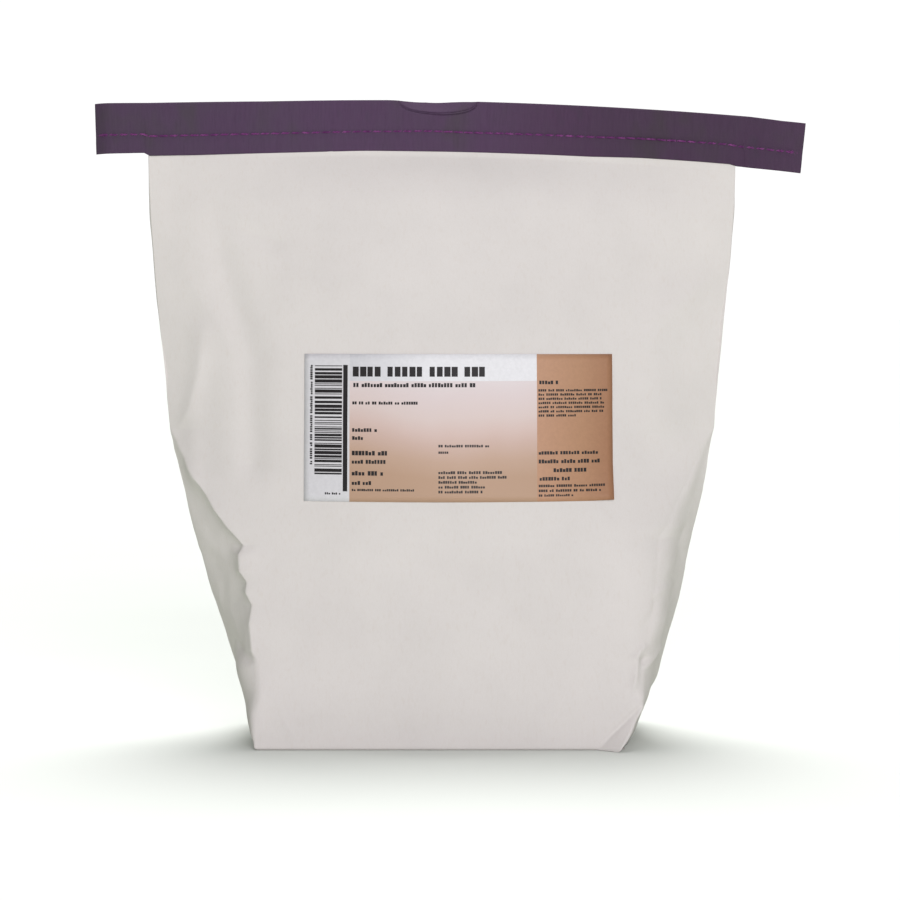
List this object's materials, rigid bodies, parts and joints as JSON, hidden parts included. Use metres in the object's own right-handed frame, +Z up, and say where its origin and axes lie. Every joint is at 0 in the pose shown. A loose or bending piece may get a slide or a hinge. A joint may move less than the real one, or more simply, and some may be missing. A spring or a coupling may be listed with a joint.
{
  "type": "bag of baking mix",
  "caption": "Filled pale paper sack standing on its block bottom, its mouth pinched flat under a folded dark purple crepe tape with a chain-stitch seam, a plain printed label on the front.",
  "frame": {"origin": "middle of the flat bottom, on the surface that the bag stands on", "axes": "+Z up, -Y out of the front face with the label, +X to the right as seen from the front, along the closed mouth"},
  "size_m": [0.486, 0.1615, 0.4345],
  "materials": {
    "paper": "matt bleached sack paper, off-white, slightly mottled, with soft creases",
    "crepe": "matt dark purple crepe paper tape with fine crinkles along its length",
    "thread": "twisted purple cotton bag-closing thread",
    "label": "smooth satin label paper, printed in pale lilac, pink and tan fields"
  },
  "bodies": {
    "root": {"sack": "paper", "closing_tape": "crepe", "stitch_thread": "thread", "label": "label"}
  },
  "joints": []
}
